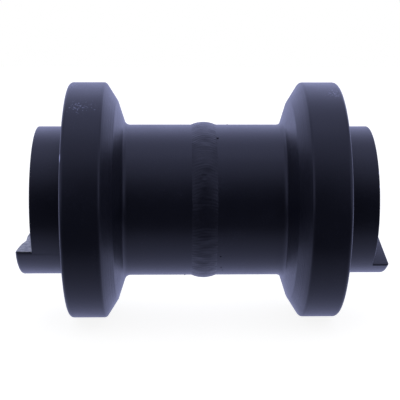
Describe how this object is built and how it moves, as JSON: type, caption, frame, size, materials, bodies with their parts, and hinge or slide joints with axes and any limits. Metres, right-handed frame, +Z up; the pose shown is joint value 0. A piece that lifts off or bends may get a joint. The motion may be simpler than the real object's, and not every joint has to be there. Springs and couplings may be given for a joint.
{
  "type": "track roller",
  "caption": "Sealed double-disc bottom roller for a small crawler track: a welded spool shell turning on a fixed shaft between two collars with half-moon ledges.",
  "frame": {"origin": "on the roller's axis, half way between its two ends", "axes": "+Y along the axis, from the left collar to the right one; +Z up, away from the left collar's ledge; +X towards the side that is seen from the front"},
  "size_m": [0.16, 0.2462, 0.16],
  "materials": {
    "black_paint": "satin black paint, faintly blue, over turned forged steel",
    "painted_weld": "satin black paint over a rippled weld bead",
    "collar_paint": "satin black paint over turned steel, chipped at the edges",
    "ground_steel": "ground steel, oiled",
    "bronze_lining": "sintered bronze bush lining",
    "seal_iron": "lapped seal iron",
    "black_rubber": "nitrile rubber",
    "spring_steel": "blackened spring steel",
    "plated_steel": "yellow zinc plate",
    "copper": "soft copper"
  },
  "bodies": {
    "shaft_assembly": {"shaft": "ground_steel", "left_snap_ring": "spring_steel", "right_snap_ring": "spring_steel", "oil_plug": "plated_steel", "oil_plug_washer": "copper"},
    "shell": {"left_shell_half": "black_paint", "right_shell_half": "black_paint", "weld_bead": "painted_weld", "left_bush": "bronze_lining", "right_bush": "bronze_lining", "left_shell_seal_ring": "seal_iron", "right_shell_seal_ring": "seal_iron", "left_shell_toric": "black_rubber", "right_shell_toric": "black_rubber"},
    "left_collar_assembly": {"left_collar": "collar_paint", "left_collar_seal_ring": "seal_iron", "left_collar_toric": "black_rubber", "left_collar_o_ring": "black_rubber"},
    "right_collar_assembly": {"right_collar": "collar_paint", "right_collar_seal_ring": "seal_iron", "right_collar_toric": "black_rubber", "right_collar_o_ring": "black_rubber"}
  },
  "joints": [
    {"name": "roller_spin", "type": "hinge", "parent": "shaft_assembly", "child": "shell", "pos_m": [0, 0, 0], "axis": [0, 1, 0], "continuous": true},
    {"name": "left_collar_turn", "type": "hinge", "parent": "shaft_assembly", "child": "left_collar_assembly", "pos_m": [0, -0.1, 0], "axis": [0, 1, 0], "continuous": true},
    {"name": "right_collar_turn", "type": "hinge", "parent": "shaft_assembly", "child": "right_collar_assembly", "pos_m": [0, 0.1, 0], "axis": [0, 1, 0], "continuous": true}
  ]
}
